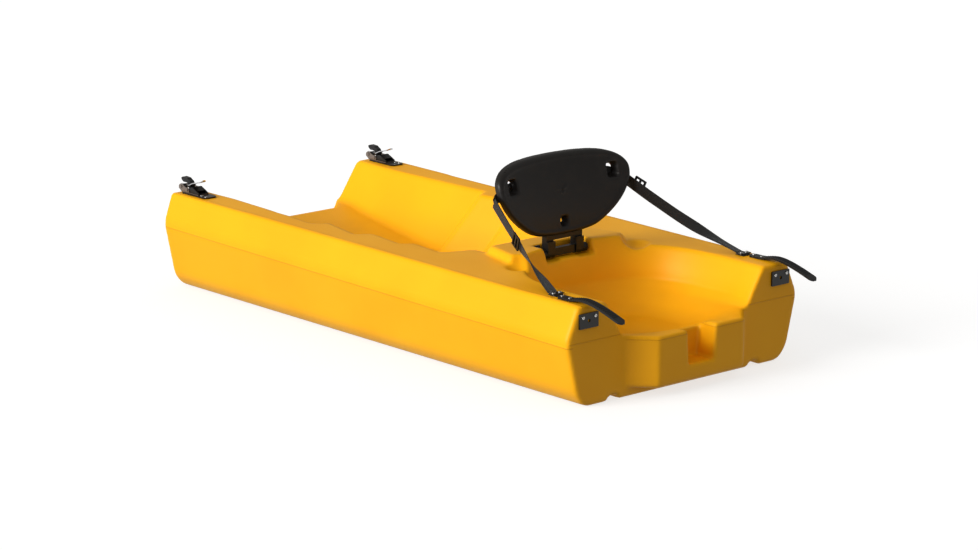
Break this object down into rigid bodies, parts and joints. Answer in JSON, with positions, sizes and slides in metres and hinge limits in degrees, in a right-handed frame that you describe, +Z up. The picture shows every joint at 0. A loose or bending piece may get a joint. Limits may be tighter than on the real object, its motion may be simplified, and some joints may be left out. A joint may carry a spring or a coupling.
{
  "type": "kayak hull section",
  "caption": "Hollow middle section of a modular sit-on-top kayak: footwell, seat well with hinged backrest and webbing straps, tongue and socket ends, ratchets and toothed joining straps.",
  "frame": {"origin": "on the flat bottom, on the centre line, midway between the stern and bow joint faces", "axes": "+X towards the bow, +Y to port, +Z up"},
  "size_m": [1.634, 0.7414, 0.4748],
  "materials": {
    "hull_polyethylene": "satin rotomoulded, fine orange-peel grain",
    "brass_insert": "knurled",
    "backrest_plastic": "satin, fine moulded grain",
    "yoke_plastic": "satin",
    "hinge_steel": "brushed",
    "screw_steel": "polished stainless",
    "plate_black": "powder coated, satin",
    "strap_urethane": "satin, moulded teeth",
    "ratchet_steel": "brushed",
    "lever_chrome": "polished",
    "hardware_plastic": "satin",
    "webbing": "flat woven polyester"
  },
  "bodies": {
    "hull": {"hull_shell": "hull_polyethylene", "threaded_inserts_deck": "brass_insert", "threaded_inserts_bow": "brass_insert", "threaded_inserts_hinge": "brass_insert", "hinge_rod": "hinge_steel", "ratchet_screws_port": "screw_steel", "ratchet_screws_starboard": "screw_steel", "end_plate_screws_port": "screw_steel", "end_plate_screws_starboard": "screw_steel", "ladder_strap_screws_port": "screw_steel", "ladder_strap_screws_starboard": "screw_steel", "strap_anchor_screws_port": "screw_steel", "strap_anchor_screws_starboard": "screw_steel", "hinge_lug_screws_port": "screw_steel", "hinge_lug_screws_starboard": "screw_steel", "end_plate_port": "plate_black", "end_plate_starboard": "plate_black", "ladder_strap_port": "strap_urethane", "ladder_strap_starboard": "strap_urethane", "ratchet_base_port": "plate_black", "ratchet_base_starboard": "plate_black", "ratchet_frame_port": "ratchet_steel", "ratchet_frame_starboard": "ratchet_steel", "ratchet_guide_port": "hardware_plastic", "ratchet_guide_starboard": "hardware_plastic", "ratchet_pin_port": "ratchet_steel", "ratchet_pin_starboard": "ratchet_steel", "release_pin_port": "ratchet_steel", "release_pin_starboard": "ratchet_steel", "release_spring_port": "ratchet_steel", "release_spring_starboard": "ratchet_steel", "seat_strap_port": "webbing", "seat_strap_starboard": "webbing", "strap_anchor_port": "plate_black", "strap_anchor_starboard": "plate_black", "strap_fold_port": "webbing", "strap_fold_starboard": "webbing", "hinge_lug_port": "yoke_plastic", "hinge_lug_starboard": "yoke_plastic"},
    "backrest": {"backrest_shell": "backrest_plastic", "backrest_yoke": "yoke_plastic", "yoke_screws": "screw_steel", "strap_loop_port": "webbing", "strap_loop_starboard": "webbing", "strap_buckle_port": "hardware_plastic"},
    "strap_adjuster": {"strap_buckle_starboard": "hardware_plastic"},
    "lever_port": {"ratchet_lever_port": "lever_chrome"},
    "lever_starboard": {"ratchet_lever_starboard": "lever_chrome"},
    "release_port": {"release_lever_port": "hardware_plastic"},
    "release_starboard": {"release_lever_starboard": "hardware_plastic"}
  },
  "joints": [
    {"name": "backrest_tilt", "type": "hinge", "parent": "hull", "child": "backrest", "pos_m": [0.341, 0, 0.24], "axis": [0, 1, 0], "range_deg": [-10, 60], "deforming": ["seat_strap_port", "seat_strap_starboard"]},
    {"name": "adjuster_swing", "type": "hinge", "parent": "hull", "child": "strap_adjuster", "pos_m": [0.341, 0, 0.24], "axis": [0, 1, 0], "range_deg": [-4.4, 26.4]},
    {"name": "lever_lift_port", "type": "hinge", "parent": "hull", "child": "lever_port", "pos_m": [-0.742, 0.31, 0.263], "axis": [0, -1, 0], "range_deg": [0, 80], "stiffness_Nm_per_rad": 0.03, "springref_deg": -17.19},
    {"name": "release_press_port", "type": "hinge", "parent": "hull", "child": "release_port", "pos_m": [-0.718, 0.31, 0.2585], "axis": [0, -1, 0], "range_deg": [0, 8], "stiffness_Nm_per_rad": 0.02, "springref_deg": -17.19},
    {"name": "lever_lift_starboard", "type": "hinge", "parent": "hull", "child": "lever_starboard", "pos_m": [-0.742, -0.31, 0.263], "axis": [0, -1, 0], "range_deg": [0, 80], "stiffness_Nm_per_rad": 0.03, "springref_deg": -17.19},
    {"name": "release_press_starboard", "type": "hinge", "parent": "hull", "child": "release_starboard", "pos_m": [-0.718, -0.31, 0.2585], "axis": [0, -1, 0], "range_deg": [0, 8], "stiffness_Nm_per_rad": 0.02, "springref_deg": -17.19}
  ],
  "couplings": [
    {"joint": "adjuster_swing", "follows": "backrest_tilt", "ratio": 0.42}
  ]
}
